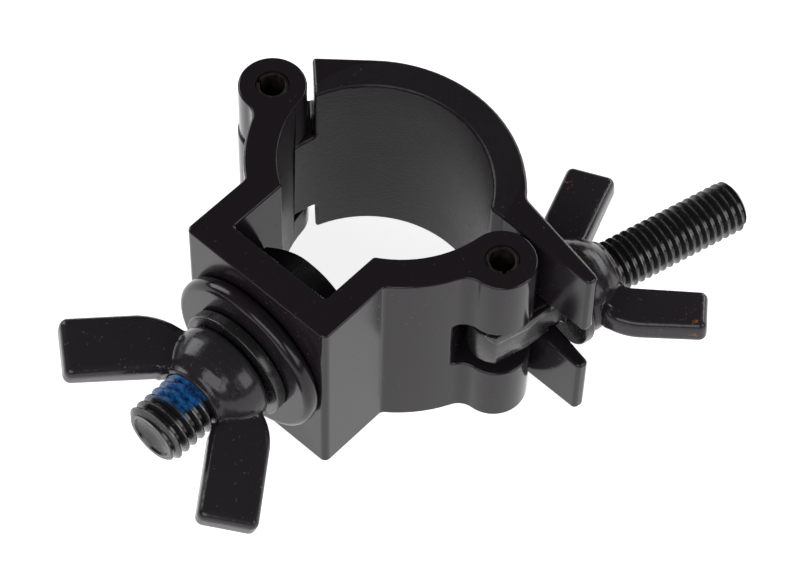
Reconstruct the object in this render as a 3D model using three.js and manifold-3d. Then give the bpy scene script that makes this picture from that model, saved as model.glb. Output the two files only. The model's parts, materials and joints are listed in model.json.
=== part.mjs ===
// Pipe clamp for stage lights: two hinged jaws closed by a swing bolt, with a hex bolt for the fixture.
// Frame: millimetres. The origin is the axis of a gripped pipe, half way along the jaws. +Z runs along
// the pipe, +X from the hinge to the swing bolt, and the fixture bolt points along -Y.
import * as THREE from 'three';
import { mergeVertices } from 'three/addons/utils/BufferGeometryUtils.js';
import Module from 'manifold-3d';

const wasm = await Module();
wasm.setup();

// Jaws
const boreRadius = 17.5;
const jawWidth = 33.5;
const wall = 4.9;
const pinDrop = 3.1;
const knuckleRadius = 5.05;
const barrelRadius = 5.3;
const armFillet = 3;
const blockHalfWidth = 13.5;
const blockFloor = 5;
const blockEdge = 1;
const grooveCornerRadius = 0.4;
const headBelowPipe = 0.7;
// Slots across the jaws, placed along Z by their middle
const hingeSlotMiddle = -2.15;
const hingeSlotWidth = 17.9;
const boltSlotMiddle = -0.4;
const hingeEndDistance = 6;
const hingeEndTurn = 62.4;
const slotFloorTurn = 20.5;
// Flange of the top jaw, by its angles with the jaw closed on a pipe
const flangeStart = 53.2;
const flangeLength = 16.75;
const flangeTip = 1.9;
const flangeOuterSlope = 4.8;
const flangeInnerSlope = 15.3;
const flangeCorner = 0.8;
// Pins
const pinRadius = 2.3;
const pinWall = 0.6;
const pinSlit = 0.8;
const pinRecess = 0.3;
// Swing bolt, M8
const swingRadius = 4;
const swingEyeRadius = 4.4;
const swingNeckRadius = 3.5;
const swingThreadStart = 8.5;
const swingLength = 41.8;
const swingLean = 15.5;
const swingWasherRadius = 8;
const swingWasherHeight = 1.6;
// Fixture bolt, M10
const boltRadius = 5;
const boltLength = 26.4;
const boltAside = [-0.15, 0.7];
const headHeight = 6.4;
const headAcross = 17;
const largeWasherRadius = 13;
const largeWasherHeight = 2.5;
const lockWasherRadius = 8.9;
const lockWasherHeight = 2.2;
const lockWasherSlit = 1.2;
// Wing nuts: the hub, then a wing from its inner to its outer end, as [radius, height]
const swingNut = {
  base: 7.4,
  top: 5.9,
  height: 7.6,
  wingFrom: [7, 2.9],
  wingTo: [15.4, 14.1],
  wingWidth: 6.1,
  wingThickness: 3.7,
  turn: -7,
};
const boltNut = {
  base: 8.4,
  top: 6.9,
  height: 8.3,
  wingFrom: [7.4, 3.9],
  wingTo: [17.1, 16.8],
  wingWidth: 7.4,
  wingThickness: 4.3,
  turn: -16.5,
};
const wingCorner = 1.2;
const chamfer = 0.8;
// Clearances
const gap = 0.3;
const slotGap = 0.4;
const seatGap = 0.25;
// Facets
const arcStep = 9;
const roundSides = 32;

const radians = THREE.MathUtils.degToRad;
const point = (x, y) => new THREE.Vector2(x, y);
const polar = (radius, angle) => point(radius, 0).rotateAround(point(0, 0), radians(angle));
const angleFrom = (centre, p) => THREE.MathUtils.radToDeg(Math.atan2(p.y - centre.y, p.x - centre.x));

// Points on an arc from one angle to another, turning the way that the two angles say.
function arc(centre, radius, from, to) {
  const steps = Math.max(2, Math.ceil(Math.abs(to - from) / arcStep));
  const angles = Array.from({ length: steps + 1 }, (_, i) => from + ((to - from) * i) / steps);
  return angles.map((angle) => polar(radius, angle).add(centre));
}

// Where two circles cross, on the left of the way from the first centre to the second.
function crossing(first, firstRadius, second, secondRadius) {
  const between = second.clone().sub(first);
  const distance = between.length();
  const along = (distance ** 2 + firstRadius ** 2 - secondRadius ** 2) / (2 * distance);
  const across = Math.sqrt(firstRadius ** 2 - along ** 2);
  const way = between.divideScalar(distance);
  return point(first.x + way.x * along - way.y * across, first.y + way.y * along + way.x * across);
}

// A closed outline from corners given in turn, each rounded by the radius.
function roundedOutline(corners, radius) {
  const points = [];
  corners.forEach((corner, i) => {
    const before = corners.at(i - 1).clone().sub(corner).normalize();
    const after = corners[(i + 1) % corners.length].clone().sub(corner).normalize();
    const half = Math.acos(before.dot(after)) / 2;
    const middle = before.clone().add(after).normalize();
    const centre = middle.multiplyScalar(radius / Math.sin(half)).add(corner);
    const reach = radius / Math.tan(half);
    const start = before.multiplyScalar(reach).add(corner);
    const end = after.multiplyScalar(reach).add(corner);
    const from = angleFrom(centre, start);
    const sweep = THREE.MathUtils.euclideanModulo(angleFrom(centre, end) - from + 180, 360) - 180;
    points.push(...arc(centre, radius, from, from + sweep));
  });
  return points;
}

function solid(geometry) {
  geometry.deleteAttribute('normal');
  geometry.deleteAttribute('uv');
  const merged = mergeVertices(geometry);
  return new wasm.Manifold(new wasm.Mesh({
    numProp: 3,
    vertProperties: merged.attributes.position.array,
    triVerts: merged.index.array,
  }));
}

// A prism of an outline, between two heights along Z.
function prism(outline, low, high, holes = []) {
  const shape = new THREE.Shape(outline);
  shape.holes = holes.map((hole) => new THREE.Path(hole));
  const geometry = new THREE.ExtrudeGeometry(shape, { depth: high - low, bevelEnabled: false });
  return solid(geometry.translate(0, 0, low));
}

const disc = (centre, radius, low, high) => prism(arc(centre, radius, 0, 360).slice(0, -1), low, high);

// A box of the half plane ahead of a point, looking along an angle, between two heights.
function ahead(from, angle, low, high, reach, side) {
  const way = polar(1, angle);
  const across = point(-way.y, way.x);
  const corner = (along, aside) => from.clone().addScaledVector(way, along).addScaledVector(across, aside);
  return prism([corner(0, -side), corner(reach, -side), corner(reach, side), corner(0, side)], low, high);
}

// A turned solid from a closed profile of [radius, height] pairs, standing along Z.
function turned(profile) {
  const points = [...profile, profile[0]].map(([radius, height]) => point(radius, height));
  return solid(new THREE.LatheGeometry(points, roundSides).rotateX(Math.PI / 2));
}

function mesh(name, manifold, material) {
  const { vertProperties, triVerts, numProp } = manifold.getMesh();
  const geometry = new THREE.BufferGeometry();
  const positions = new Float32Array((vertProperties.length / numProp) * 3);
  for (let i = 0; i < positions.length / 3; i += 1) {
    positions.set(vertProperties.subarray(i * numProp, i * numProp + 3), i * 3);
  }
  geometry.setAttribute('position', new THREE.BufferAttribute(positions, 3));
  geometry.setIndex(new THREE.BufferAttribute(triVerts, 1));
  geometry.computeVertexNormals();
  const made = new THREE.Mesh(geometry, material);
  made.name = name;
  return made;
}

const color = 0x0b0b0d;
const black = (roughness, metalness) => new THREE.MeshStandardMaterial({ color, roughness, metalness });
const powderCoat = black(0.22, 0.2);
const castCoat = black(0.3, 0.3);
const blackZinc = black(0.35, 0.8);

// Places that the pieces share
const origin = point(0, 0);
const halfWidth = jawWidth / 2;
const armRadius = boreRadius + wall;
const grooveHalfWidth = headAcross / 2 + slotGap;
const pinReach = Math.sqrt((boreRadius + knuckleRadius) ** 2 - pinDrop ** 2);
const swingPin = point(pinReach, -pinDrop);
const hingePin = point(-pinReach, -pinDrop);
const headTop = -(boreRadius + headBelowPipe);
const grooveFloor = headTop - headHeight - seatGap;
const blockFace = grooveFloor - blockFloor;
const pinHole = pinRadius + gap;
const boltHole = boltRadius + gap;
const hingeSlot = [hingeSlotMiddle - hingeSlotWidth / 2, hingeSlotMiddle + hingeSlotWidth / 2];
const clevisHalf = swingRadius + 1.05;
const forkHalf = swingRadius + 0.7;
const eyeHalf = clevisHalf - gap;

// The flange faces, in the frame of a jaw closed on a pipe
const outerStart = polar(armRadius, flangeStart);
const outerWay = polar(1, flangeOuterSlope);
const outerTip = outerStart.clone().addScaledVector(outerWay, flangeLength);
const innerTip = outerTip.clone().addScaledVector(point(outerWay.y, -outerWay.x), flangeTip);
const innerNormal = polar(1, flangeInnerSlope + 90);
const innerDistance = innerTip.dot(innerNormal);
const innerRootTurn = THREE.MathUtils.radToDeg(Math.acos(innerDistance / boreRadius));
const innerRoot = polar(boreRadius, flangeInnerSlope + 90 - innerRootTurn);
// At rest the jaw has closed past that, until the flange almost meets the clevis of the lower jaw.
const flangeRise = innerTip.clone().sub(hingePin).dot(innerNormal) - knuckleRadius - gap;
const jawTurn = THREE.MathUtils.radToDeg(Math.acos(flangeRise / (2 * pinReach))) - flangeInnerSlope - 90;

function baseJaw() {
  const wallTop = -Math.sqrt(armRadius ** 2 - blockHalfWidth ** 2);
  const filletCentre = crossing(swingPin, knuckleRadius + armFillet, origin, armRadius + armFillet);
  const filletAngle = angleFrom(origin, filletCentre);
  const knuckleStart = angleFrom(swingPin, filletCentre);
  const pinAngle = angleFrom(origin, swingPin);
  const grooveTop = -THREE.MathUtils.radToDeg(Math.acos(grooveHalfWidth / boreRadius));
  const blockCorner = point(blockHalfWidth - blockEdge, blockFace + blockEdge);
  const grooveCorner = point(grooveHalfWidth - grooveCornerRadius, grooveFloor + grooveCornerRadius);
  const right = [
    ...arc(blockCorner, blockEdge, -90, 0),
    ...arc(origin, armRadius, angleFrom(origin, point(blockHalfWidth, wallTop)), filletAngle),
    ...arc(filletCentre, armFillet, filletAngle + 180, knuckleStart + 180).slice(1),
    ...arc(swingPin, knuckleRadius, knuckleStart, pinAngle + 180).slice(1),
    ...arc(origin, boreRadius, pinAngle, grooveTop).slice(1),
    ...arc(grooveCorner, grooveCornerRadius, 0, -90),
  ];
  const left = right.map((p) => point(-p.x, p.y)).reverse();
  const floorAngle = (side) => (side > 0 ? slotFloorTurn : 180 - slotFloorTurn);
  const slotCut = (pin, side, radius, [low, high]) => {
    const angle = floorAngle(side);
    return ahead(polar(-radius - slotGap, angle).add(pin), angle, low, high, 4 * radius, 3 * radius);
  };
  const boltSlot = [boltSlotMiddle - clevisHalf, boltSlotMiddle + clevisHalf];
  const boltBore = solid(new THREE.CylinderGeometry(boltHole, boltHole, 4 * blockFloor, roundSides));
  return prism([...right, ...left], -halfWidth, halfWidth)
    .subtract(slotCut(swingPin, 1, swingEyeRadius, boltSlot))
    .subtract(slotCut(hingePin, -1, barrelRadius, hingeSlot))
    .subtract(disc(swingPin, pinHole, -jawWidth, jawWidth))
    .subtract(disc(hingePin, pinHole, -jawWidth, jawWidth))
    .subtract(boltBore.translate(boltAside[0], blockFace + blockFloor / 2, boltAside[1]));
}

function topJaw() {
  const pinAngle = angleFrom(hingePin, origin);
  const tangentAngle = 180 + pinAngle
    - THREE.MathUtils.radToDeg(Math.acos((armRadius - barrelRadius) / hingePin.length()));
  const barrelEnd = crossing(origin, boreRadius, hingePin, barrelRadius);
  const outline = [
    ...arc(origin, armRadius, flangeStart, tangentAngle),
    ...arc(hingePin, barrelRadius, tangentAngle, 360 + angleFrom(hingePin, barrelEnd)),
    ...arc(origin, boreRadius, 360 + angleFrom(origin, barrelEnd), angleFrom(origin, innerRoot)).slice(1),
    ...tipCorners(),
  ];
  const endFace = polar(hingeEndDistance, hingeEndTurn).add(hingePin);
  const cut = (low, high) => (
    ahead(endFace, hingeEndTurn + 180, low, high, 3 * hingeEndDistance, 2 * hingeEndDistance)
  );
  const forkRoot = polar(armRadius - swingRadius, flangeStart);
  const fork = [boltSlotMiddle - forkHalf, boltSlotMiddle + forkHalf];
  return prism(outline, -halfWidth, halfWidth)
    .subtract(cut(hingeSlot[1] - gap, jawWidth))
    .subtract(cut(-jawWidth, hingeSlot[0] + gap))
    .subtract(ahead(forkRoot, flangeOuterSlope, ...fork, jawWidth, jawWidth))
    .subtract(disc(hingePin, pinHole, -jawWidth, jawWidth));
}

// The two rounded corners at the tip of the flange.
function tipCorners() {
  const corners = roundedOutline([innerRoot, innerTip, outerTip, outerStart], flangeCorner);
  const each = corners.length / 4;
  return corners.slice(each, 3 * each);
}

// A slotted spring pin: a rolled tube with a slit along it.
function springPin(slitAngle) {
  const slit = (radius) => THREE.MathUtils.radToDeg(Math.asin(pinSlit / 2 / radius));
  const inner = pinRadius - pinWall;
  const outline = [
    ...arc(origin, pinRadius, slitAngle + slit(pinRadius), slitAngle + 360 - slit(pinRadius)),
    ...arc(origin, inner, slitAngle + 360 - slit(inner), slitAngle + slit(inner)),
  ];
  return prism(outline, -halfWidth + pinRecess, halfWidth - pinRecess);
}

// The eye bolt stands along Z with its eye on the origin, and its pin runs along Y.
function swingBolt() {
  const eye = disc(origin, swingEyeRadius, -eyeHalf, eyeHalf).rotate([90, 0, 0]);
  const shank = turned([
    [0, 0],
    [swingNeckRadius, 0],
    [swingNeckRadius, swingThreadStart - chamfer / 2],
    [swingRadius, swingThreadStart],
    [swingRadius, swingLength - chamfer],
    [swingRadius - chamfer, swingLength],
    [0, swingLength],
  ]);
  return eye.add(shank).subtract(disc(origin, pinHole, -jawWidth, jawWidth).rotate([90, 0, 0]));
}

function mountingBolt() {
  const headCorner = headAcross / 2 / Math.cos(radians(30));
  const corners = Array.from({ length: 6 }, (_, i) => polar(headCorner, 60 * i + 30));
  const head = prism(corners, -headHeight, 0);
  const shank = turned([
    [0, -headHeight / 2],
    [boltRadius, -headHeight / 2],
    [boltRadius, boltLength - chamfer],
    [boltRadius - chamfer, boltLength],
    [0, boltLength],
  ]);
  return head.add(shank);
}

const washer = (radius, bore, height) => turned([
  [bore, 0],
  [radius, 0],
  [radius, height],
  [bore, height],
]);

function lockWasher() {
  const slit = new THREE.BoxGeometry(lockWasherRadius * 2, lockWasherSlit, lockWasherHeight * 3);
  const ring = washer(lockWasherRadius, boltHole, lockWasherHeight);
  return ring.subtract(solid(slit.translate(lockWasherRadius + boltRadius / 2, 0, 0)));
}

function wingNut(nut, bore) {
  const from = point(...nut.wingFrom);
  const way = point(...nut.wingTo).sub(from);
  const aside = point(-way.y, way.x).setLength(nut.wingWidth / 2);
  const outline = roundedOutline([
    from.clone().sub(aside),
    from.clone().add(way).sub(aside),
    from.clone().add(way).add(aside),
    from.clone().add(aside),
  ], wingCorner);
  const wing = prism(outline, -nut.wingThickness / 2, nut.wingThickness / 2).rotate([90, 0, 0]);
  const hub = turned([
    [0, 0],
    [nut.base, 0],
    [nut.top, nut.height],
    [0, nut.height],
  ]);
  const wings = wing.add(wing.rotate([0, 0, 180]));
  const cylinder = new THREE.CylinderGeometry(bore, bore, 8 * nut.height, roundSides);
  const through = solid(cylinder.rotateX(Math.PI / 2));
  return hub.add(wings).subtract(through).rotate([0, 0, nut.turn]);
}

const clamp = new THREE.Group();

// Lower jaw with its fixture bolt, washers and nut, which stand along -Y
const fixture = new THREE.Group();
fixture.rotation.x = Math.PI / 2;
fixture.position.set(boltAside[0], headTop - headHeight, boltAside[1]);
clamp.add(mesh('base_jaw', baseJaw(), powderCoat), fixture);
fixture.add(mesh('mounting_bolt', mountingBolt(), blackZinc));
let height = headTop - headHeight - blockFace + seatGap;
for (const [name, made, tall, material] of [
  ['large_washer', washer(largeWasherRadius, boltHole, largeWasherHeight), largeWasherHeight, powderCoat],
  ['lock_washer', lockWasher(), lockWasherHeight, blackZinc],
  ['mounting_wing_nut', wingNut(boltNut, boltHole), boltNut.height, castCoat],
]) {
  const piece = mesh(name, made, material);
  piece.position.z = height;
  fixture.add(piece);
  height += tall + seatGap;
}

// Top jaw, closed until its flange almost meets the clevis
const jaw = new THREE.Group();
jaw.position.set(hingePin.x, hingePin.y, 0);
jaw.rotation.z = radians(jawTurn);
const jawMesh = mesh('top_jaw', topJaw(), powderCoat);
jawMesh.position.set(-hingePin.x, -hingePin.y, 0);
jaw.add(jawMesh);
clamp.add(jaw);

for (const [name, pin, slitAngle] of [['hinge_pin', hingePin, 200], ['swing_bolt_pin', swingPin, 320]]) {
  const piece = mesh(name, springPin(slitAngle), blackZinc);
  piece.position.set(pin.x, pin.y, 0);
  clamp.add(piece);
}

// Swing bolt, leaning out over the flange, with its washer and nut just clear of the flange
const lean = new THREE.Group();
lean.position.set(swingPin.x, swingPin.y, boltSlotMiddle);
lean.rotation.z = -radians(swingLean);
const stem = new THREE.Group();
stem.rotation.x = -Math.PI / 2;
lean.add(stem);
clamp.add(lean);
const faceNormal = polar(1, flangeOuterSlope + 90 + jawTurn);
const tipAtRest = outerTip.clone().sub(hingePin).rotateAround(origin, radians(jawTurn)).add(hingePin);
const faceHeight = tipAtRest.sub(swingPin).dot(faceNormal);
const tilt = radians(swingLean) - Math.atan2(faceNormal.x, faceNormal.y);
const washerSeat = faceHeight / Math.cos(tilt) + swingWasherRadius * Math.tan(tilt) + gap;
stem.add(mesh('swing_bolt', swingBolt(), blackZinc));
const swingHole = swingRadius + gap;
const swingWasher = mesh('swing_washer', washer(swingWasherRadius, swingHole, swingWasherHeight), blackZinc);
swingWasher.position.z = washerSeat;
const swingWingNut = mesh('swing_wing_nut', wingNut(swingNut, swingHole), castCoat);
swingWingNut.position.z = washerSeat + swingWasherHeight + seatGap;
stem.add(swingWasher, swingWingNut);

export default clamp;
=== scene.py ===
import cmath
import json
import math

import bpy
from mathutils import Matrix, Vector


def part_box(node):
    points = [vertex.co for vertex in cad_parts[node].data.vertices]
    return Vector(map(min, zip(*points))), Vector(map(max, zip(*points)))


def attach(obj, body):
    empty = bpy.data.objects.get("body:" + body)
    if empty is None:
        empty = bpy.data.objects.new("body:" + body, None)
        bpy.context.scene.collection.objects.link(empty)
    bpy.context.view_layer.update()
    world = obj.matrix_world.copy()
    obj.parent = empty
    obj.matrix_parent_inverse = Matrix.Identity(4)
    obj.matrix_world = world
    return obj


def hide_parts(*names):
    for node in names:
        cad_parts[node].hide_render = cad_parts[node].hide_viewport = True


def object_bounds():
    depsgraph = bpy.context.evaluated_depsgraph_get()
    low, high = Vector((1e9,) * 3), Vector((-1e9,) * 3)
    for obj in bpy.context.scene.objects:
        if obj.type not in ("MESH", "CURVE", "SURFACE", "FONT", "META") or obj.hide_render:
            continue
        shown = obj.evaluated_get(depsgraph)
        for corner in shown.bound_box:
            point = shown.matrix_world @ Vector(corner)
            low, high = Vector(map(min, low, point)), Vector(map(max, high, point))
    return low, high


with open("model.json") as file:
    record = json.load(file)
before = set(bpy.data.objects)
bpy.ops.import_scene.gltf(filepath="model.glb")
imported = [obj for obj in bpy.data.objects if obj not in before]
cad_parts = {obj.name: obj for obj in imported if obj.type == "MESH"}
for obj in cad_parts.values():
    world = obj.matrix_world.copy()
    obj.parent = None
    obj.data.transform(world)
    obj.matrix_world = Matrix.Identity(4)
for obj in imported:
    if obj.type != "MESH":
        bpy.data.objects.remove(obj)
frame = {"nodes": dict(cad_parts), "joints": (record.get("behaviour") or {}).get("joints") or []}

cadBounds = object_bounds()
joints = {joint["name"]: joint for joint in frame["joints"]}
mm = 0.001
arcStep = 4  # degrees between the points of an arc
sharpAngle = 32  # degrees from which an edge counts as sharp
smoothAngle = 38  # degrees up to which faces shade as one
threadSmoothAngle = 35
weld = 0.002  # points nearer than this, in millimetres, are merged
coarseWeld = 0.02


# Selecting, and the operators that every piece uses

def pick(*pieces):
    bpy.ops.object.select_all(action="DESELECT")
    for piece in pieces:
        piece.select_set(True)
    bpy.context.view_layer.objects.active = pieces[0]


def enter():
    bpy.ops.object.mode_set(mode="EDIT")


def edit(mode, chosen=True):
    enter()
    bpy.ops.mesh.select_mode(type=mode)
    bpy.ops.mesh.select_all(action="SELECT" if chosen else "DESELECT")


def leave():
    bpy.ops.object.mode_set(mode="OBJECT")


def newest(name):
    piece = bpy.context.object
    piece.name = name
    piece.data.name = name
    return piece


def modify(piece, kind, **settings):
    pick(piece)
    modifier = piece.modifiers.new(kind.lower(), kind)
    for key, value in settings.items():
        setattr(modifier, key, value)
    bpy.ops.object.modifier_apply(modifier=modifier.name)
    return piece


def combine(piece, other, operation="DIFFERENCE"):
    modify(piece, "BOOLEAN", object=other, operation=operation, solver="EXACT")
    pick(other)
    bpy.ops.object.delete()
    return piece


def place(piece, matrix):
    piece.matrix_world = matrix
    pick(piece)
    bpy.ops.object.transform_apply(location=True, rotation=True, scale=True)
    return piece


def tidy(piece, distance=weld):
    pick(piece)
    edit("VERT")
    bpy.ops.mesh.remove_doubles(threshold=distance * mm)
    bpy.ops.mesh.normals_make_consistent(inside=False)
    leave()
    return piece


def roundEdges(piece, width, segments=3, angle=sharpAngle):
    tidy(piece, coarseWeld)
    modify(piece, "BEVEL", width=width * mm, segments=segments, limit_method="ANGLE",
           angle_limit=math.radians(angle), use_clamp_overlap=False, miter_outer="MITER_ARC")
    return piece


def smooth(piece, angle=smoothAngle, weighted=True):
    pick(piece)
    bpy.ops.object.shade_smooth_by_angle(angle=math.radians(angle))
    if weighted:
        modify(piece, "WEIGHTED_NORMAL", mode="FACE_AREA", weight=50, keep_sharp=True)
    return piece


# A line drawn through points in millimetres, one vertex pulled out of the last
def drawLine(name, points, closed=False):
    bpy.ops.object.select_all(action="DESELECT")
    bpy.ops.mesh.primitive_plane_add(size=mm, location=(0, 0, 0))
    piece = newest(name)
    edit("VERT")
    bpy.ops.mesh.merge(type="CENTER")
    points = [Vector(point) * mm for point in points]
    bpy.ops.transform.translate(value=points[0])
    for last, point in zip(points, points[1:]):
        bpy.ops.mesh.extrude_vertices_move(TRANSFORM_OT_translate={"value": point - last})
    if closed:
        bpy.ops.mesh.select_all(action="SELECT")
        bpy.ops.mesh.edge_face_add()
    leave()
    return piece


# A face drawn on the flat and pulled up to a prism
def drawPrism(name, outline, low, high):
    piece = drawLine(name, [(p.real, p.imag, low) for p in outline], closed=True)
    pick(piece)
    edit("FACE")
    bpy.ops.mesh.extrude_region_move(TRANSFORM_OT_translate={"value": (0, 0, (high - low) * mm)})
    leave()
    return tidy(piece)


# A profile of (radius, height) pairs turned about Z
def turn(name, profile, steps=72, degrees=360, rise=0):
    piece = drawLine(name, [(radius, 0, height) for radius, height in profile])
    modify(piece, "SCREW", angle=math.radians(degrees), screw_offset=rise * mm, steps=steps,
           render_steps=steps, use_merge_vertices=True, merge_threshold=0.001 * mm)
    return tidy(piece)


def rod(name, radius, low, high, sides=64):
    bpy.ops.object.select_all(action="DESELECT")
    bpy.ops.mesh.primitive_cylinder_add(vertices=sides, radius=radius * mm, depth=(high - low) * mm,
                                        location=(0, 0, (low + high) / 2 * mm))
    piece = newest(name)
    return place(piece, piece.matrix_world.copy())


# A box that starts at a point and runs ahead along an angle, between two heights
def block(name, start, degrees, reach, side, low, high):
    middle = start + cmath.rect(reach / 2, math.radians(degrees))
    spot = (middle.real * mm, middle.imag * mm, (low + high) / 2 * mm)
    bpy.ops.object.select_all(action="DESELECT")
    bpy.ops.mesh.primitive_cube_add(size=1, location=spot, rotation=(0, 0, math.radians(degrees)))
    piece = newest(name)
    piece.scale = (reach * mm, 2 * side * mm, (high - low) * mm)
    bpy.context.view_layer.update()
    return place(piece, piece.matrix_world.copy())


# Plane geometry on complex numbers, in millimetres and degrees

def polar(radius, degrees):
    return cmath.rect(radius, math.radians(degrees))


def angleOf(point, centre=0):
    return math.degrees(cmath.phase(point - centre))


def arc(centre, radius, start, end):
    steps = max(2, math.ceil(abs(end - start) / arcStep))
    return [centre + polar(radius, start + (end - start) * i / steps) for i in range(steps + 1)]


# Where two circles cross, on the left of the way from the first centre to the second
def crossing(first, firstRadius, second, secondRadius):
    way = second - first
    along = (abs(way) ** 2 + firstRadius ** 2 - secondRadius ** 2) / (2 * abs(way))
    return first + way / abs(way) * complex(along, math.sqrt(firstRadius ** 2 - along ** 2))


# A corner between two neighbours, rounded by a radius
def corner(before, at, after, radius):
    first, second = (before - at) / abs(before - at), (after - at) / abs(after - at)
    half = abs(cmath.phase(second / first)) / 2
    middle = (first + second) / abs(first + second)
    centre = at + middle * radius / math.sin(half)
    reach = radius / math.tan(half)
    start, end = angleOf(at + first * reach, centre), angleOf(at + second * reach, centre)
    sweep = (end - start + 180) % 360 - 180
    return arc(centre, radius, start, start + sweep)


def flat(vector):
    return complex(vector[0], vector[1]) / mm


print("stage: helpers ready")


# Jaws

jaw = {
    "bore": 17.5,
    "halfWidth": 16.75,
    "wall": 4.9,
    "knuckle": 5.05,
    "barrel": 5.3,
    "armFillet": 3,
    "edge": 0.4,
    "upperEdge": 0.6,
    "pinHole": 2.5,
    "gap": 0.3,
    "hingeSlot": (-11.1, 6.8),
    "hingeEnd": (6, 62.4),
    "slotFloorTurn": 20.5,
    "slotGap": 0.4,
    "slotCut": (4, 3),  # length and half width of a slot's cut, in radii of what turns in it
    "forkCut": 40,
    "through": 20,  # half the height of a cut that goes right through
    "rimSlack": 0.05,
}
blockOf = {"halfWidth": 13.5, "edge": 1, "floor": 5, "groove": 8.9, "boltHole": 5.3, "boltCut": 10}
flange = {
    "start": 53.2,
    "length": 16.75,
    "tip": 1.9,
    "outerSlope": 4.8,
    "innerSlope": 15.3,
    "corner": 0.8,
}
boltSlot = {"middle": -0.4, "clevisHalf": 5.05, "forkHalf": 4.7, "eye": 4.4, "boltRadius": 4}

hingePin = flat(joints["jaw_hinge"]["pos_m"])
swingPin = flat(joints["swing_bolt_pivot"]["pos_m"])
arm = jaw["bore"] + jaw["wall"]
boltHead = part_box("mounting_bolt")
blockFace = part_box("base_jaw")[0].y / mm
grooveFloor = blockFace + blockOf["floor"]
headMiddle = (boltHead[0] + boltHead[1]) / 2
boltAxis = Vector((headMiddle.x, blockFace * mm, headMiddle.z))


def pinHole(piece, centre):
    cutter = rod("cutter", jaw["pinHole"], -jaw["through"], jaw["through"])
    place(cutter, Matrix.Translation((centre.real * mm, centre.imag * mm, 0)))
    return combine(piece, cutter)


# Rounds the sharp edges of a jaw, but for the rims of its holes
def roundJaw(piece, width, rims):
    tidy(piece, coarseWeld)
    pick(piece)
    edit("EDGE", False)
    bpy.ops.mesh.edges_select_sharp(sharpness=math.radians(sharpAngle))
    leave()
    for seam in piece.data.edges:
        ends = [piece.data.vertices[i].co for i in seam.vertices]
        if any(all(onRim(end) for end in ends) for onRim in rims):
            seam.select = False
    enter()
    bpy.ops.mesh.bevel(offset=width * mm, segments=3, affect="EDGES", clamp_overlap=False,
                       miter_outer="ARC")
    leave()


def pinRim(centre):
    return lambda point: abs(flat(point) - centre) < jaw["pinHole"] + jaw["rimSlack"]


def boltRim(point):
    aside = complex(point.x - boltAxis.x, point.z - boltAxis.z) / mm
    return abs(aside) < blockOf["boltHole"] + jaw["rimSlack"]


def makeBaseJaw():
    wallTop = -math.sqrt(arm ** 2 - blockOf["halfWidth"] ** 2)
    fillet, knuckle = jaw["armFillet"], jaw["knuckle"]
    filletCentre = crossing(swingPin, knuckle + fillet, 0, arm + fillet)
    filletTurn = angleOf(filletCentre)
    knuckleTurn = angleOf(filletCentre, swingPin)
    pinTurn = angleOf(swingPin)
    edge = blockOf["edge"]
    outerCorner = complex(blockOf["halfWidth"] - edge, blockFace + edge)
    grooveTurn = -math.degrees(math.acos(blockOf["groove"] / jaw["bore"]))
    right = [
        *arc(outerCorner, edge, -90, 0),
        *arc(0, arm, angleOf(complex(blockOf["halfWidth"], wallTop)), filletTurn),
        *arc(filletCentre, fillet, filletTurn + 180, knuckleTurn + 180)[1:],
        *arc(swingPin, knuckle, knuckleTurn, pinTurn + 180)[1:],
        *arc(0, jaw["bore"], pinTurn, grooveTurn)[1:],
        complex(blockOf["groove"], grooveFloor),
    ]
    left = [complex(-p.real, p.imag) for p in reversed(right)]
    piece = drawPrism("lowerJaw", right + left, -jaw["halfWidth"], jaw["halfWidth"])
    slots = [
        (swingPin, jaw["slotFloorTurn"], boltSlot["eye"],
         boltSlot["middle"] - boltSlot["clevisHalf"], boltSlot["middle"] + boltSlot["clevisHalf"]),
        (hingePin, 180 - jaw["slotFloorTurn"], jaw["barrel"], *jaw["hingeSlot"]),
    ]
    reach, side = jaw["slotCut"]
    for centre, angle, radius, low, high in slots:
        start = centre - polar(radius + jaw["slotGap"], angle)
        combine(piece, block("cutter", start, angle, reach * radius, side * radius, low, high))
    pinHole(piece, hingePin)
    pinHole(piece, swingPin)
    cutter = rod("cutter", blockOf["boltHole"], -blockOf["boltCut"], blockOf["boltCut"])
    place(cutter, Matrix.Translation(boltAxis) @ Matrix.Rotation(math.pi / 2, 4, "X"))
    combine(piece, cutter)
    roundJaw(piece, jaw["edge"], [pinRim(hingePin), pinRim(swingPin), boltRim])
    smooth(piece)
    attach(piece, "lower_jaw")
    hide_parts("base_jaw")
    return piece


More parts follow.
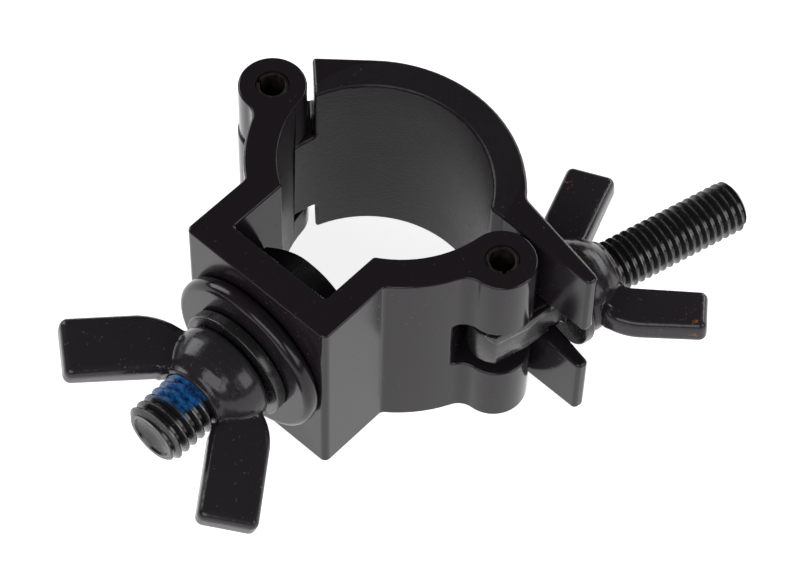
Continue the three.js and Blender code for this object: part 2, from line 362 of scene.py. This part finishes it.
def makeTopJaw():
    outerStart = polar(arm, flange["start"])
    outerWay = polar(1, flange["outerSlope"])
    outerTip = outerStart + outerWay * flange["length"]
    innerTip = outerTip - 1j * outerWay * flange["tip"]
    normal = polar(1, flange["innerSlope"] + 90)
    lift = (innerTip * normal.conjugate()).real
    rootTurn = math.degrees(math.acos(lift / jaw["bore"]))
    innerRoot = polar(jaw["bore"], flange["innerSlope"] + 90 - rootTurn)
    # At rest the inner side of the flange clears the knuckle by the gap
    rise = ((innerTip - hingePin) * normal.conjugate()).real - jaw["knuckle"] - jaw["gap"]
    restTurn = math.degrees(math.acos(rise / (2 * swingPin.real))) - flange["innerSlope"] - 90
    barrel = jaw["barrel"]
    tangent = 180 + angleOf(0, hingePin) - math.degrees(math.acos((arm - barrel) / abs(hingePin)))
    barrelEnd = crossing(0, jaw["bore"], hingePin, barrel)
    outline = [
        *arc(0, arm, flange["start"], tangent),
        *arc(hingePin, barrel, tangent, 360 + angleOf(barrelEnd, hingePin)),
        *arc(0, jaw["bore"], 360 + angleOf(barrelEnd), angleOf(innerRoot))[1:],
        *corner(innerRoot, innerTip, outerTip, flange["corner"]),
        *corner(innerTip, outerTip, outerStart, flange["corner"]),
    ]
    piece = drawPrism("upperJaw", outline, -jaw["halfWidth"], jaw["halfWidth"])
    distance, facing = jaw["hingeEnd"]
    endFace = hingePin + polar(distance, facing)
    low, high = jaw["hingeSlot"]
    for bottom, top in ((high - jaw["gap"], jaw["through"]), (-jaw["through"], low + jaw["gap"])):
        combine(piece, block("cutter", endFace, facing + 180, 3 * distance, 2 * distance, bottom, top))
    forkRoot = polar(arm - boltSlot["boltRadius"], flange["start"])
    bottom, top = boltSlot["middle"] - boltSlot["forkHalf"], boltSlot["middle"] + boltSlot["forkHalf"]
    combine(piece, block("cutter", forkRoot, flange["outerSlope"], jaw["forkCut"], jaw["forkCut"],
                         bottom, top))
    pinHole(piece, hingePin)
    roundJaw(piece, jaw["upperEdge"], [pinRim(hingePin)])
    pivot = Matrix.Translation((hingePin.real * mm, hingePin.imag * mm, 0))
    place(piece, pivot @ Matrix.Rotation(math.radians(restTurn), 4, "Z") @ pivot.inverted())
    smooth(piece)
    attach(piece, "upper_jaw")
    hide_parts("top_jaw")
    return piece


lowerJaw = makeBaseJaw()
upperJaw = makeTopJaw()
print("stage: jaws", len(lowerJaw.data.polygons), len(upperJaw.data.polygons))


# Spring pins

pin = {"radius": 2.42, "hole": 1.87, "slit": 0.7, "recess": 0.25, "edge": 0.12}


def makePin(name, centre, slitTurn, node):
    outer = math.degrees(math.asin(pin["slit"] / 2 / pin["radius"]))
    inner = math.degrees(math.asin(pin["slit"] / 2 / pin["hole"]))
    outline = [
        *arc(0, pin["radius"], slitTurn + outer, slitTurn + 360 - outer),
        *arc(0, pin["hole"], slitTurn + 360 - inner, slitTurn + inner),
    ]
    half = jaw["halfWidth"] - pin["recess"]
    piece = drawPrism(name, outline, -half, half)
    roundEdges(piece, pin["edge"], 2)
    place(piece, Matrix.Translation((centre.real * mm, centre.imag * mm, 0)))
    smooth(piece)
    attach(piece, "lower_jaw")
    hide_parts(node)
    return piece


pins = [
    makePin("hingePin", hingePin, 200, "hinge_pin"),
    makePin("swingBoltPin", swingPin, 320, "swing_bolt_pin"),
]
print("stage: pins")


# Threads: one pitch of the profile, wound up about Z, then cut to length and chamfered

thread = {
    "depth": 0.6134,  # this and the next four in pitches
    "crest": 0.125,
    "rootStart": 0.44,
    "rootEnd": 0.69,
    "lead": 1.31,  # wound before the lower cut, which then meets no ring of points
    "steps": 44,
    "margin": 1,  # what the envelope keeps outside of the thread
    "taper": 0.6,  # height that the end's cone takes beyond the chamfer
    "overlap": 0.5,  # how far a plain shank runs into its thread
    "over": 0.3,  # how far the cutter of a dish stands out of the end
}


def makeThread(name, radius, pitch, low, high, chamfer):
    start = low - thread["lead"] * pitch
    turns = math.ceil((high - low) / pitch) + 2
    root = radius - thread["depth"] * pitch
    profile = [(radius, 0), (radius, thread["crest"]), (root, thread["rootStart"]),
               (root, thread["rootEnd"]), (radius, 1)]
    piece = drawLine(name, [(r, 0, start + share * pitch) for r, share in profile])
    modify(piece, "SCREW", angle=2 * math.pi, screw_offset=pitch * mm, iterations=turns,
           steps=thread["steps"], render_steps=thread["steps"], use_merge_vertices=False)
    tidy(piece)
    for height, side in ((low, -1), (high, 1)):
        pick(piece)
        edit("VERT")
        bpy.ops.mesh.bisect(plane_co=(0, 0, height * mm), plane_no=(0, 0, side), use_fill=True,
                            clear_outer=True)
        leave()
    tidy(piece)
    wide, below = radius + thread["margin"], low - thread["margin"]
    envelope = [(0, below), (wide, below), (wide, high - chamfer - thread["taper"]),
                (radius - chamfer, high), (0, high)]
    combine(piece, turn("cutter", envelope), "INTERSECT")
    return tidy(piece)


# The hollow in a bolt's end, from its (radius, share of depth) pairs out to its rim
def cutDish(piece, bolt, tip):
    over = tip + thread["over"]
    bowl = [(radius, tip - bolt["dish"] * share) for radius, share in bolt["bowl"]]
    return combine(piece, turn("cutter", [*bowl, (bolt["bowlRim"], over), (0, over)]))


# Where a CAD node starts and ends along an axis, in millimetres from a point on it
def reachOf(node, origin, axis):
    reach = [(vertex.co - origin).dot(axis) / mm for vertex in frame["nodes"][node].data.vertices]
    return min(reach), max(reach)


# Fixture bolt, standing along -Y with its head in the groove

fixture = {
    "head": 17,
    "headHeight": 6.4,
    "headEdge": 0.25,
    "radius": 4.85,
    "pitch": 1.5,
    "threadStart": 7.5,
    "chamfer": 0.9,
    "dish": 1.1,
    "bowl": [(0, 1), (1.6, 0.85), (3.1, 0.3)],
    "bowlRim": 3.5,
    "shankInset": 0.15,
    "shankRoot": -1,
    "crown": {"inset": 0.4, "margin": 0.6, "drop": 1.1},
}
fixtureOrigin = Vector((headMiddle.x, boltHead[1].y - fixture["headHeight"] * mm, headMiddle.z))
fixtureWay = Vector((0, -1, 0))
fixturePlace = Matrix.Translation(fixtureOrigin) @ Matrix.Rotation(math.pi / 2, 4, "X")


def makeFixtureBolt():
    tip = reachOf("mounting_bolt", fixtureOrigin, fixtureWay)[1]
    piece = makeThread("fixtureBolt", fixture["radius"], fixture["pitch"], fixture["threadStart"], tip,
                       fixture["chamfer"])
    cutDish(piece, fixture, tip)
    shankRadius = fixture["radius"] - fixture["shankInset"]
    shankEnd = fixture["threadStart"] + thread["overlap"]
    combine(piece, rod("shank", shankRadius, fixture["shankRoot"], shankEnd), "UNION")
    corners = fixture["head"] / 2 / math.cos(math.radians(30))
    bottom, crown = -fixture["headHeight"], fixture["crown"]
    head = drawPrism("head", [polar(corners, 60 * i + 30) for i in range(6)], bottom, 0)
    roundEdges(head, fixture["headEdge"], 2)
    wide = corners + crown["margin"]
    cone = [(0, bottom), (fixture["head"] / 2 - crown["inset"], bottom), (wide, bottom + crown["drop"]),
            (wide, 1), (0, 1)]
    combine(head, turn("cutter", cone), "INTERSECT")
    combine(piece, head, "UNION")
    place(piece, fixturePlace)
    smooth(piece, threadSmoothAngle, False)
    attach(piece, "lower_jaw")
    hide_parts("mounting_bolt")
    return piece


fixtureBolt = makeFixtureBolt()
print("stage: fixture bolt", len(fixtureBolt.data.polygons))


# Washers

holeEdge = 0.2
rimStep = 15  # degrees
largeWasher = {"radius": 13, "hole": 5.4, "rim": 1.1, "under": 0.1, "over": 0.05, "steps": 96}
lockWasher = {
    "radius": 8.9,
    "hole": 5.3,
    "edge": 0.22,
    "slit": 12,
    "rise": 0.45,
    "slitTurn": -38,
    "steps": 80,
}
swingWasher = {"radius": 8, "hole": 4.15, "edge": 0.3}


def seat(piece, matrix, body, node):
    place(piece, matrix)
    smooth(piece)
    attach(piece, body)
    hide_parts(node)
    return piece


# A washer's section, with the edges of its hole broken and its rim rounded
def ringProfile(washer, low, high, rim):
    inner, outer = washer["hole"], washer["radius"]
    steps = [polar(rim, angle) for angle in range(-90, 1, rimStep)]
    lower = [(outer - rim + p.real, low + rim + p.imag) for p in steps]
    upper = [(radius, low + high - height) for radius, height in reversed(lower)]
    return [(inner, low + holeEdge), (inner + holeEdge, low), *lower, *upper, (inner + holeEdge, high),
            (inner, high - holeEdge), (inner, low + holeEdge)]


def makeLargeWasher():
    low, high = reachOf("large_washer", fixtureOrigin, fixtureWay)
    profile = ringProfile(largeWasher, low - largeWasher["under"], high + largeWasher["over"],
                          largeWasher["rim"])
    piece = turn("largeWasher", profile, largeWasher["steps"])
    return seat(piece, fixturePlace, "fixture_washers", "large_washer")


def makeLockWasher():
    low, high = reachOf("lock_washer", fixtureOrigin, fixtureWay)
    profile = ringProfile(lockWasher, low, high - lockWasher["rise"], lockWasher["edge"])
    sweep = 360 - lockWasher["slit"]
    piece = turn("lockWasher", profile, lockWasher["steps"], sweep, lockWasher["rise"])
    pick(piece)
    edit("EDGE", False)
    bpy.ops.mesh.select_non_manifold()
    bpy.ops.mesh.fill_holes(sides=0)
    leave()
    tidy(piece)
    place(piece, Matrix.Rotation(math.radians(lockWasher["slitTurn"]), 4, "Z"))
    return seat(piece, fixturePlace, "fixture_washers", "lock_washer")


washers = [makeLargeWasher(), makeLockWasher()]
print("stage: fixture washers")


# Swing bolt, from its pin, with its washer

swing = {
    "eye": 4.4,
    "eyeHalf": 3.3,
    "eyeFlat": 3.6,
    "eyeEdge": 0.25,
    "eyeCut": 10,
    "neck": 3.5,
    "radius": 4,
    "pitch": 1.25,
    "threadStart": 8.5,
    "chamfer": 0.8,
    "dish": 0.5,
    "bowl": [(0, 1), (2.4, 0.4)],
    "bowlRim": 2.8,
    "shoulder": {"start": 3, "inset": 0.7, "stop": 1.2},
}
swingOrigin = Vector(joints["swing_bolt_pivot"]["pos_m"])
swingWay = Vector(joints["swing_nut_spin"]["axis"]).normalized()
lean = math.atan2(swingWay.x, swingWay.y)
swingPlace = (Matrix.Translation(swingOrigin) @ Matrix.Rotation(-lean, 4, "Z")
              @ Matrix.Rotation(-math.pi / 2, 4, "X"))


def makeSwingBolt():
    tip = reachOf("swing_bolt", swingOrigin, swingWay)[1]
    piece = makeThread("swingBolt", swing["radius"], swing["pitch"], swing["threadStart"], tip,
                       swing["chamfer"])
    cutDish(piece, swing, tip)
    combine(piece, rod("neck", swing["neck"], 0, swing["threadStart"] + thread["overlap"]), "UNION")
    side, shoulder = swing["eyeFlat"], swing["shoulder"]
    start, top = shoulder["start"], swing["threadStart"] - shoulder["stop"]
    flatTurn = math.degrees(math.acos(side / swing["eye"]))  # where the round end meets the flat sides
    outline = [
        *arc(0, swing["eye"], 180 + flatTurn, 360 - flatTurn),
        complex(side, start),
        complex(side - shoulder["inset"], top),
        complex(shoulder["inset"] - side, top),
        complex(-side, start),
    ]
    eye = drawPrism("eye", outline, -swing["eyeHalf"], swing["eyeHalf"])
    place(eye, Matrix.Rotation(math.pi / 2, 4, "X"))
    roundEdges(eye, swing["eyeEdge"], 3)
    combine(piece, eye, "UNION")
    cutter = rod("cutter", jaw["pinHole"], -swing["eyeCut"], swing["eyeCut"])
    place(cutter, Matrix.Rotation(math.pi / 2, 4, "X"))
    combine(piece, cutter)
    place(piece, swingPlace)
    smooth(piece, threadSmoothAngle, False)
    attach(piece, "swing_arm")
    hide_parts("swing_bolt")
    return piece


def makeSwingWasher():
    low, high = reachOf("swing_washer", swingOrigin, swingWay)
    piece = turn("swingWasher", ringProfile(swingWasher, low, high, swingWasher["edge"]))
    return seat(piece, swingPlace, "swing_washer", "swing_washer")


swingBolt = makeSwingBolt()
washers.append(makeSwingWasher())
print("stage: swing bolt", len(swingBolt.data.polygons))


# Wing nuts: a domed hub and two flat wings, melted together as one casting and then bored

fixtureNut = {
    "hub": [
        (0, 0), (7.6, 0), (8, 0.5), (8.1, 1.6), (8, 2.8), (7.7, 4), (7.2, 5.1), (6.5, 6.1), (5.9, 6.7),
        (5.6, 7.5), (0, 7.5),
    ],
    "bore": 5.02,
    "turn": -16.5,
    "thickness": 4.3,
    "edge": 1.3,
    "corner": 1.2,
    "wings": [
        {"root": (5.4, 1.4), "bend": (10.2, 0.9), "from": (6.9, 4.3), "to": (16.5, 17), "width": 8.9},
        {"root": (5.4, 1.4), "bend": (10.4, 0.6), "from": (7.8, 3.6), "to": (17.7, 16.4), "width": 9},
    ],
}
swingNut = {
    "hub": [
        (0, 0), (6.7, 0), (7.1, 0.5), (7.2, 1.5), (7, 2.7), (6.6, 3.8), (6, 4.9), (5.3, 5.8), (4.8, 6.3),
        (4.6, 7), (0, 7),
    ],
    "bore": 4.1,
    "turn": -7,
    "thickness": 4,
    "edge": 1.15,
    "corner": 1.1,
    "wings": [
        {"root": (4.6, 1.2), "bend": (9.2, 0.5), "from": (7, 2.9), "to": (15.4, 14.1), "width": 6.9},
        {"root": (4.6, 1.2), "bend": (9.2, 0.6), "from": (7, 3.2), "to": (15.9, 15.2), "width": 7.6},
    ],
}
wingShape = {
    "curveSteps": 8,
    "kneeShare": 0.3,  # shares of the way from a wing's start to its end
    "shoulderShare": 0.12,
    "sunk": 0.3,  # how deep the wing's upper corner lies in the hub
    "core": 1,
    "coreDrop": 0.4,
}
cast = {
    "voxel": 0.2,
    "passes": 3,
    "factor": 0.5,
    "rootSpread": 1.2,  # thickens a wing inside rootReach of the axis
    "rootReach": 8,
    "edgeSteps": 4,
    "edgeAngle": 45,
    "boreCut": (-5, 30),
    "boreSides": 96,
    "smoothAngle": 50,
}


def wingOutline(nut, wing):
    start, end = complex(*wing["from"]), complex(*wing["to"])
    aside = 1j * (end - start) / abs(end - start) * wing["width"] / 2
    root, bend = complex(*wing["root"]), complex(*wing["bend"])
    lowerEnd = end - aside
    knee = start - aside + (end - start) * wingShape["kneeShare"]
    steps = wingShape["curveSteps"]
    shares = [i / steps for i in range(steps + 1)]
    under = [root * (1 - t) ** 2 + 2 * bend * t * (1 - t) + knee * t ** 2 for t in shares]
    rim, height = nut["hub"][-2]
    return [
        *under,
        *corner(knee, lowerEnd, end + aside, nut["corner"]),
        *corner(lowerEnd, end + aside, start + aside, nut["corner"]),
        start + aside + (end - start) * wingShape["shoulderShare"],
        complex(rim - wingShape["sunk"], height - wingShape["sunk"]),
        complex(wingShape["core"], height - wingShape["coreDrop"]),
        complex(wingShape["core"], root.imag),
    ]


def makeNut(name, nut):
    hub = turn(name, nut["hub"])
    half = nut["thickness"] / 2
    for side, wing in enumerate(nut["wings"]):
        bar = drawPrism("wing", wingOutline(nut, wing), -half, half)
        roundEdges(bar, nut["edge"], cast["edgeSteps"], cast["edgeAngle"])
        pick(bar)
        edit("VERT", False)
        leave()
        for vertex in bar.data.vertices:
            vertex.select = vertex.co.x < cast["rootReach"] * mm
        enter()
        bpy.ops.transform.resize(value=(1, 1, cast["rootSpread"]), center_override=(0, 0, 0))
        leave()
        place(bar, Matrix.Rotation(math.pi * side, 4, "Z") @ Matrix.Rotation(math.pi / 2, 4, "X"))
        pick(hub, bar)
        bpy.ops.object.join()
    modify(hub, "REMESH", mode="VOXEL", voxel_size=cast["voxel"] * mm)
    modify(hub, "SMOOTH", factor=cast["factor"], iterations=cast["passes"])
    combine(hub, rod("cutter", nut["bore"], *cast["boreCut"], cast["boreSides"]))
    pick(hub)
    bpy.ops.object.shade_smooth_by_angle(angle=math.radians(cast["smoothAngle"]))
    return hub


def seatNut(piece, nut, matrix, low, body, node):
    spot = Matrix.Translation((0, 0, low * mm)) @ Matrix.Rotation(math.radians(nut["turn"]), 4, "Z")
    place(piece, matrix @ spot)
    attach(piece, body)
    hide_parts(node)
    return piece


nuts = [
    seatNut(makeNut("fixtureWingNut", fixtureNut), fixtureNut, fixturePlace,
            reachOf("mounting_wing_nut", fixtureOrigin, fixtureWay)[0], "fixture_nut", "mounting_wing_nut"),
    seatNut(makeNut("swingWingNut", swingNut), swingNut, swingPlace,
            reachOf("swing_wing_nut", swingOrigin, swingWay)[0], "swing_nut", "swing_wing_nut"),
]
print("stage: wing nuts", [len(nut.data.polygons) for nut in nuts])


# Finishes

class Wire:
    def __init__(self, finish, socket):
        self.finish = finish
        self.socket = socket

    def maths(self, operation, first, second):
        return self.finish.node("ShaderNodeMath", {"operation": operation}, {0: first, 1: second})

    def __add__(self, other):
        return self.maths("ADD", self, other)

    def __sub__(self, other):
        return self.maths("SUBTRACT", self, other)

    def __rsub__(self, other):
        return self.maths("SUBTRACT", other, self)

    def __mul__(self, other):
        return self.maths("MULTIPLY", self, other)

    __radd__ = __add__
    __rmul__ = __mul__


class Finish:
    def __init__(self, name, **constants):
        self.material = bpy.data.materials.new(name)
        self.material.use_nodes = True
        self.tree = self.material.node_tree
        self.shader = self.tree.nodes["Principled BSDF"]
        self.put(**constants)

    def node(self, kind, settings, inputs, output=0):
        made = self.tree.nodes.new(kind)
        for key, value in settings.items():
            setattr(made, key, value)
        for key, value in inputs.items():
            self.feed(made.inputs[key], value)
        return Wire(self, made.outputs[output])

    def feed(self, socket, value):
        if isinstance(value, Wire):
            self.tree.links.new(value.socket, socket)
        else:
            socket.default_value = value

    def put(self, **sockets):
        for key, value in sockets.items():
            self.feed(self.shader.inputs[key.replace("_", " ")], value)

    def place(self, matrix=None):
        spot = self.node("ShaderNodeTexCoord", {}, {}, "Object")
        if matrix:
            turned = matrix.inverted()
            spot = self.node("ShaderNodeMapping", {}, {
                "Vector": spot, "Location": turned.to_translation(), "Rotation": turned.to_euler()})
        return spot

    def noise(self, spot, scale, detail=3, roughness=0.5):
        return self.node("ShaderNodeTexNoise", {}, {
            "Vector": spot, "Scale": scale, "Detail": detail, "Roughness": roughness})

    def between(self, value, low, high):
        return self.node("ShaderNodeMapRange", {"clamp": True}, {
            "Value": value, "From Min": low, "From Max": high, "To Min": 0.0, "To Max": 1.0})

    def blend(self, mask, first, second):
        first, second = [(*shade, 1) if isinstance(shade, tuple) else shade for shade in (first, second)]
        return self.node("ShaderNodeMix", {"data_type": "RGBA"}, {0: mask, 6: first, 7: second}, 2)

    def bump(self, height, strength, distance, under=None):
        inputs = {"Height": height, "Strength": strength, "Distance": distance * mm}
        if under:
            inputs["Normal"] = under
        return self.node("ShaderNodeBump", {}, inputs)


def parts(finish, vector):
    split = finish.tree.nodes.new("ShaderNodeSeparateXYZ")
    finish.feed(split.inputs[0], vector)
    return [Wire(finish, split.outputs[i]) for i in range(3)]


def fromAxis(finish, x, y):
    return finish.node("ShaderNodeMath", {"operation": "SQRT"}, {0: x * x + y * y})


coatLook = {
    "ior": 1.35,
    "base": (0.0125, 0.0098, 0.012),
    "speck": (0.09, 0.085, 0.085),
    "speckMix": 0.3,
    "peelNoise": (420, 2),
    "grainNoise": (5200, 2),
    "speckNoise": (1500, 1),
    "speckBand": (0.735, 0.76),
    "hazeNoise": (90, 4),
    "hazeBand": (0.35, 0.7),
    "peelBump": (0.12, 0.05),
    "grainBump": (0.1, 0.01),
    "rough": 0.13,
    "hazeRough": 0.05,
    "speckRough": 0.2,
    "boreRim": (0.0176, 0.0179),
    "lineScales": (2.2, 900, 300),  # around, along and away from the bore's axis
    "lineNoise": (5, 4, 0.6),
    "lineBump": (0.6, 0.08),
    "lineRough": (0.12, 0.2),
}


# Gloss black coat over extruded alloy, with turned lines in the bore
def coatedAlloy(name, bored):
    finish = Finish(name, IOR=coatLook["ior"])
    spot = finish.place()
    peel = finish.noise(spot, *coatLook["peelNoise"])
    grain = finish.noise(spot, *coatLook["grainNoise"])
    speck = finish.between(finish.noise(spot, *coatLook["speckNoise"]), *coatLook["speckBand"])
    haze = finish.between(finish.noise(spot, *coatLook["hazeNoise"]), *coatLook["hazeBand"])
    rough = coatLook["rough"] + haze * coatLook["hazeRough"] + speck * coatLook["speckRough"]
    normal = finish.bump(peel, *coatLook["peelBump"])
    normal = finish.bump(grain, *coatLook["grainBump"], normal)
    colour = finish.blend(speck * coatLook["speckMix"], coatLook["base"], coatLook["speck"])
    if bored:
        x, y, z = parts(finish, spot)
        radius = fromAxis(finish, x, y)
        inside = 1 - finish.between(radius, *coatLook["boreRim"])
        around = finish.node("ShaderNodeMath", {"operation": "ARCTAN2"}, {0: y, 1: x})
        turns, along, away = coatLook["lineScales"]
        wound = finish.node("ShaderNodeCombineXYZ", {}, {0: around * turns, 1: z * along, 2: radius * away})
        lines = finish.noise(wound, *coatLook["lineNoise"])
        normal = finish.bump(lines * inside, *coatLook["lineBump"], normal)
        plain, ridged = coatLook["lineRough"]
        rough = rough + inside * (plain + lines * ridged)
    finish.put(Base_Color=colour, Roughness=rough, Normal=normal)
    return finish.material


castLook = {
    "ior": 1.37,
    "base": (0.02, 0.017, 0.0205),
    "speck": (0.12, 0.11, 0.105),
    "rust": (0.2, 0.085, 0.03),
    "speckMix": 0.5,
    "lumpNoise": (260, 3),
    "pitNoise": (1500, 2, 0.6),
    "pitBand": (0.36, 0.3),
    "speckNoise": (1900, 2),
    "speckBand": (0.69, 0.73),
    "patchNoise": (130, 2),
    "patchBand": (0.52, 0.62),
    "rustNoise": (1100, 4, 0.6),
    "rustBand": (0.6, 0.66),
    "lumpBump": (0.5, 0.16),
    "pitBump": (0.5, -0.03),
    "rough": 0.14,
    "lumpRough": 0.1,
    "speckRough": 0.15,
}
roughBand = (0.3, 0.7)  # the middle of a noise, where its roughness changes


# Black casting: lumps, pits and, on one nut, a few specks of rust
def castCoat(name, rust):
    finish = Finish(name, IOR=castLook["ior"])
    spot = finish.place()
    lumps = finish.noise(spot, *castLook["lumpNoise"])
    pits = finish.between(finish.noise(spot, *castLook["pitNoise"]), *castLook["pitBand"])
    speck = finish.between(finish.noise(spot, *castLook["speckNoise"]), *castLook["speckBand"])
    normal = finish.bump(lumps, *castLook["lumpBump"])
    normal = finish.bump(pits, *castLook["pitBump"], normal)
    colour = finish.blend(speck * castLook["speckMix"], castLook["base"], castLook["speck"])
    if rust:
        patch = finish.between(finish.noise(spot, *castLook["patchNoise"]), *castLook["patchBand"])
        rusty = finish.between(finish.noise(spot, *castLook["rustNoise"]), *castLook["rustBand"])
        colour = finish.blend(rusty * patch, colour, castLook["rust"])
    lumpy = finish.between(lumps, *roughBand)
    rough = castLook["rough"] + lumpy * castLook["lumpRough"] + speck * castLook["speckRough"]
    finish.put(Base_Color=colour, Roughness=rough, Normal=normal)
    return finish.material


zincLook = {
    "base": (0.016, 0.015, 0.016),
    "speck": (0.16, 0.15, 0.14),
    # Crest colour: a painted highlight along the thread crests, together with rubbing wear
    "crestWearAndHighlight": (0.2, 0.19, 0.18),
    "speckMix": 0.6,
    "crestWearAndHighlightMix": 0.5,
    "fineNoise": (1300, 3),
    "fineBump": (0.25, 0.03),
    "speckNoise": (2300, 2),
    "speckBand": (0.68, 0.73),
    "patchyNoise": (500, 3),
    "patchyBand": (0.35, 0.6),
    "rough": 0.2,
    "fineRough": 0.12,
    "crestIn": (0.16, 0.02),  # millimetres inside and outside of the crest where the rubbing and the painted highlight fade
    "crestOut": (0.1, 0.12),
}
threadLock = {
    "low": (17.5, 17.9),  # where its borders fade, in millimetres along the bolt and across it
    "high": (24.4, 24.8),
    "side": (3.2, 3.7),
    "colours": ((0.002, 0.02, 0.07), (0.008, 0.14, 0.42)),
    "facing": (0.8, -0.6),  # the way across the bolt that the patch faces
    "raggedNoise": (420, 4, 0.65),
    "ragged": (0.003, 0.004, 0.004),  # metres that each border wanders
    "mottleNoise": (1500, 3, 0.6),
    "mottleBand": (0.36, 0.6),
    "rough": 0.15,
}


# Black zinc, lighter along the crests as rubbing wear plus a painted highlight, with blue thread lock on the
# fixture bolt
def blackZinc(name, matrix=None, crest=None, lock=None):
    finish = Finish(name, IOR=1.5, Metallic=0.25, Coat_Weight=0.15, Coat_Roughness=0.1)
    spot = finish.place(matrix)
    fine = finish.noise(spot, *zincLook["fineNoise"])
    speck = finish.between(finish.noise(spot, *zincLook["speckNoise"]), *zincLook["speckBand"])
    normal = finish.bump(fine, *zincLook["fineBump"])
    colour = finish.blend(speck * zincLook["speckMix"], zincLook["base"], zincLook["speck"])
    rough = zincLook["rough"] + finish.between(fine, *roughBand) * zincLook["fineRough"]
    if crest:
        x, y, z = parts(finish, spot)
        radius = fromAxis(finish, x, y)
        # Painted highlight: the crests are lightened in colour where light would catch them, also standing
        # for rubbing wear
        crestWearAndHighlight = finish.between(radius, *[(crest - inset) * mm for inset in zincLook["crestIn"]])
        crestWearAndHighlight = crestWearAndHighlight - finish.between(radius, *[(crest + outset) * mm for outset in zincLook["crestOut"]])
        patchy = finish.between(finish.noise(spot, *zincLook["patchyNoise"]), *zincLook["patchyBand"])
        colour = finish.blend(crestWearAndHighlight * patchy * zincLook["crestWearAndHighlightMix"], colour, zincLook["crestWearAndHighlight"])
    if lock:
        ragged = finish.noise(spot, *lock["raggedNoise"])
        low, high, side = [[border * mm for border in lock[key]] for key in ("low", "high", "side")]
        lowWander, highWander, sideWander = lock["ragged"]
        facingY, facingX = lock["facing"]
        above = finish.between(z + ragged * lowWander, *low)
        below = 1 - finish.between(z + ragged * highWander, *high)
        beside = finish.between(y * facingY + x * facingX + ragged * sideWander, *side)
        patch = above * below * beside
        mottle = finish.between(finish.noise(spot, *lock["mottleNoise"]), *lock["mottleBand"])
        colour = finish.blend(patch, colour, finish.blend(mottle, *lock["colours"]))
        rough = rough + patch * lock["rough"]
    finish.put(Base_Color=colour, Roughness=rough, Normal=normal)
    return finish.material


springLook = {
    "dark": (0.03, 0.026, 0.024),
    "light": (0.09, 0.075, 0.06),
    "stainNoise": (700, 3),
    "stainBand": (0.35, 0.65),
    "stainBump": (0.2, 0.02),
    "rough": 0.3,
    "stainRough": 0.15,
}


# Spring steel with a blotchy stain
def springSteel(name):
    finish = Finish(name, IOR=1.5, Metallic=0.8)
    spot = finish.place()
    stain = finish.between(finish.noise(spot, *springLook["stainNoise"]), *springLook["stainBand"])
    colour = finish.blend(stain, springLook["dark"], springLook["light"])
    rough = springLook["rough"] + stain * springLook["stainRough"]
    finish.put(Base_Color=colour, Roughness=rough, Normal=finish.bump(stain, *springLook["stainBump"]))
    return finish.material


def wear(piece, material):
    piece.data.materials.clear()
    piece.data.materials.append(material)


alloy = coatedAlloy("glossBlackAlloy", True)
wear(lowerJaw, alloy)
wear(upperJaw, alloy)
wear(washers[0], coatedAlloy("glossBlackWasher", False))
wear(nuts[0], castCoat("blackCastingFixture", False))
wear(nuts[1], castCoat("blackCastingSwing", True))
wear(fixtureBolt, blackZinc("blackZincFixtureBolt", fixturePlace, fixture["radius"], threadLock))
wear(swingBolt, blackZinc("blackZincSwingBolt", swingPlace, swing["radius"]))
for washer in washers[1:]:
    wear(washer, blackZinc("blackZincWasher"))
for piece in pins:
    wear(piece, springSteel("blackSpringSteel"))
print("stage: finishes")


# Floor, light and camera

studio = {
    "floorSize": 4,
    "floorDrop": 0.0001,
    "floorShade": 0.8,
    "floorGlow": 0.86,
    "world": 0.08,
    "tone": "Standard",
}
lamps = [
    {"name": "front", "spot": (0.25, -0.75, 0.55), "size": (0.9, 0.5), "power": 5},
    {"name": "right", "spot": (0.95, 0.2, 0.5), "size": (0.6, 0.6), "power": 4},
    {"name": "left", "spot": (-0.95, -0.1, 0.45), "size": (0.6, 0.6), "power": 5},
    {"name": "back", "spot": (0.1, 0.95, 0.3), "size": (0.9, 0.3), "power": 4},
]
view = {
    "aim": (0.00655, -0.00659, -0.00308),
    "azimuth": 41.156,
    "elevation": 56.258,
    "roll": 1.849,
    "distance": 0.46356,
    "lens": 142.5,
    "sensor": 36,
}


def makeFloor():
    bpy.ops.object.select_all(action="DESELECT")
    height = cadBounds[0][2] - studio["floorDrop"]
    bpy.ops.mesh.primitive_plane_add(size=studio["floorSize"], location=(0, 0, height))
    floor = newest("floor")
    finish = Finish("paleFloor", Roughness=0.9, Specular_IOR_Level=0.1)
    shade = studio["floorShade"]
    finish.put(Base_Color=(shade, shade, shade, 1), Emission_Color=(1, 1, 1, 1),
               Emission_Strength=studio["floorGlow"])
    wear(floor, finish.material)


def makeLamp(lamp):
    data = bpy.data.lights.new(lamp["name"], "AREA")
    data.shape = "RECTANGLE"
    data.size, data.size_y = lamp["size"]
    data.energy = lamp["power"]
    made = bpy.data.objects.new(lamp["name"], data)
    bpy.context.scene.collection.objects.link(made)
    spot = Vector(lamp["spot"])
    made.location = spot
    made.rotation_euler = (-spot).to_track_quat("-Z", "Y").to_euler()


makeFloor()
for lamp in lamps:
    makeLamp(lamp)

world = bpy.data.worlds.new("studio")
world.use_nodes = True
background = world.node_tree.nodes["Background"]
background.inputs["Color"].default_value = (1, 1, 1, 1)
background.inputs["Strength"].default_value = studio["world"]
bpy.context.scene.world = world

cameraData = bpy.data.cameras.new("camera")
cameraData.lens = view["lens"]
cameraData.sensor_width = view["sensor"]
camera = bpy.data.objects.new("camera", cameraData)
bpy.context.scene.collection.objects.link(camera)
turned = (Matrix.Rotation(math.radians(view["azimuth"]), 4, "Z")
          @ Matrix.Rotation(math.radians(90 - view["elevation"]), 4, "X")
          @ Matrix.Rotation(math.radians(view["roll"]), 4, "Z"))
camera.matrix_world = (Matrix.Translation(view["aim"]) @ turned
                       @ Matrix.Translation((0, 0, view["distance"])))
bpy.context.scene.camera = camera
bpy.context.scene.view_settings.view_transform = studio["tone"]
print("stage: studio")

bpy.context.view_layer.update()
